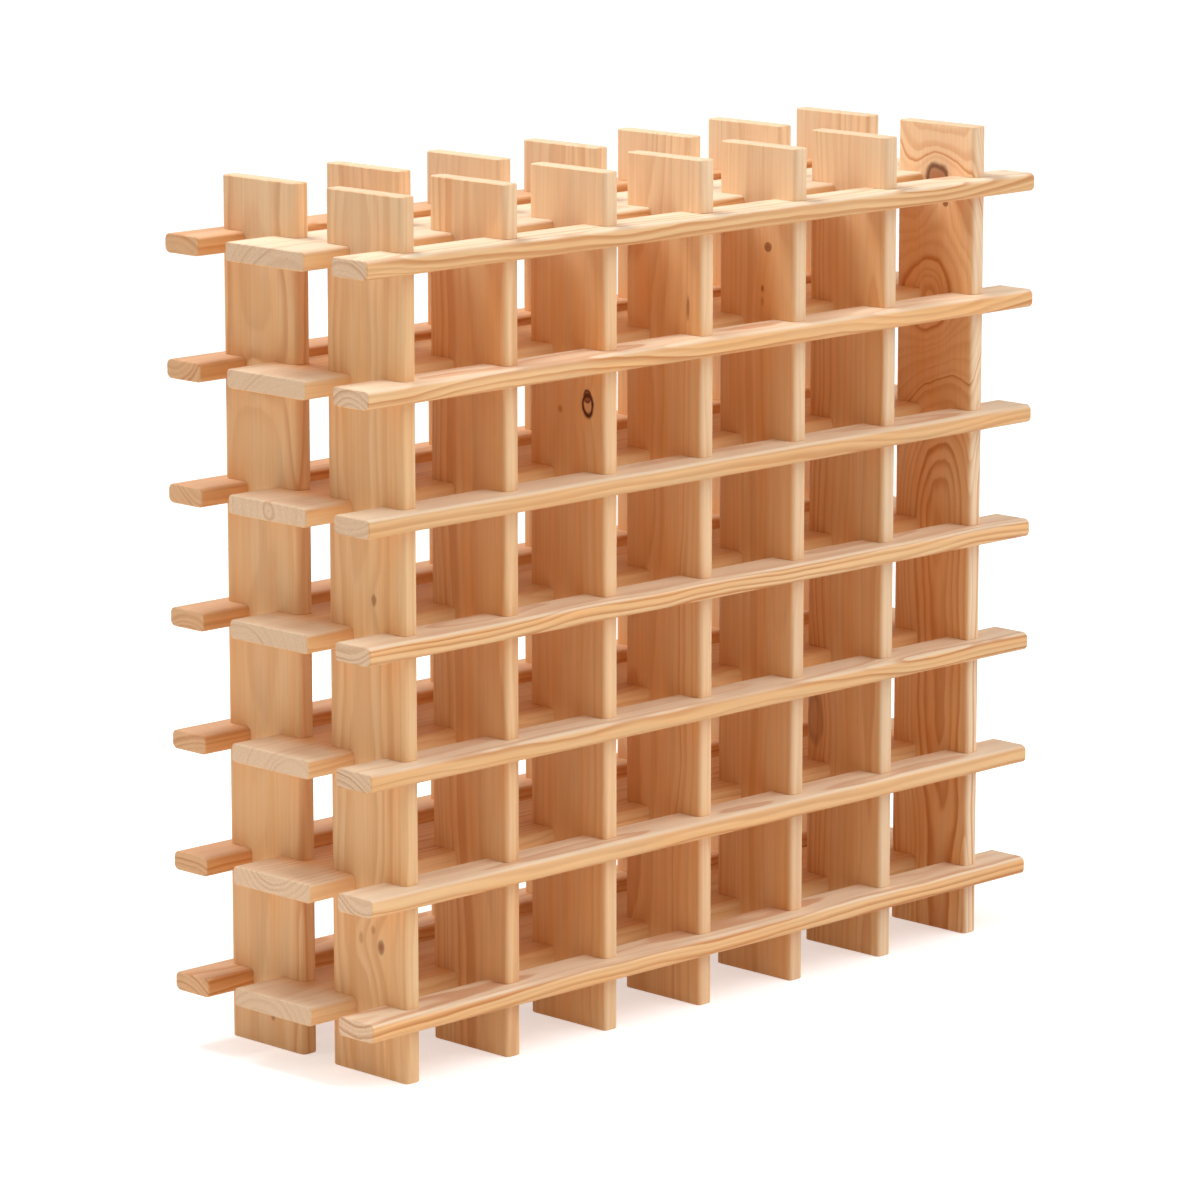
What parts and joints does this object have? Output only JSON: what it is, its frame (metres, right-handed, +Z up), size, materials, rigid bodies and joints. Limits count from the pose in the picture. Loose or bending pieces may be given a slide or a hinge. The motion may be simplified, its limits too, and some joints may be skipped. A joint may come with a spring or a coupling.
{
  "type": "wine rack",
  "caption": "Free-standing wine rack of planed softwood boards slotted together like an egg crate, with through cells that each hold one bottle lying down.",
  "frame": {"origin": "on the floor, under the middle of the rack", "axes": "+X along the slats to the right as seen from the front, +Y from the front to the rear, +Z up"},
  "size_m": [0.806, 0.244, 0.732],
  "materials": {
    "pine": "unfinished planed softwood, matt"
  },
  "bodies": {
    "root": {"front_upright_1": "pine", "front_upright_2": "pine", "front_upright_3": "pine", "front_upright_4": "pine", "front_upright_5": "pine", "front_upright_6": "pine", "front_upright_7": "pine", "rear_upright_1": "pine", "rear_upright_2": "pine", "rear_upright_3": "pine", "rear_upright_4": "pine", "rear_upright_5": "pine", "rear_upright_6": "pine", "rear_upright_7": "pine", "front_slat_1": "pine", "front_slat_2": "pine", "front_slat_3": "pine", "front_slat_4": "pine", "front_slat_5": "pine", "front_slat_6": "pine", "front_slat_7": "pine", "middle_board_1": "pine", "middle_board_2": "pine", "middle_board_3": "pine", "middle_board_4": "pine", "middle_board_5": "pine", "middle_board_6": "pine", "middle_board_7": "pine", "rear_slat_1": "pine", "rear_slat_2": "pine", "rear_slat_3": "pine", "rear_slat_4": "pine", "rear_slat_5": "pine", "rear_slat_6": "pine", "rear_slat_7": "pine"}
  },
  "joints": []
}
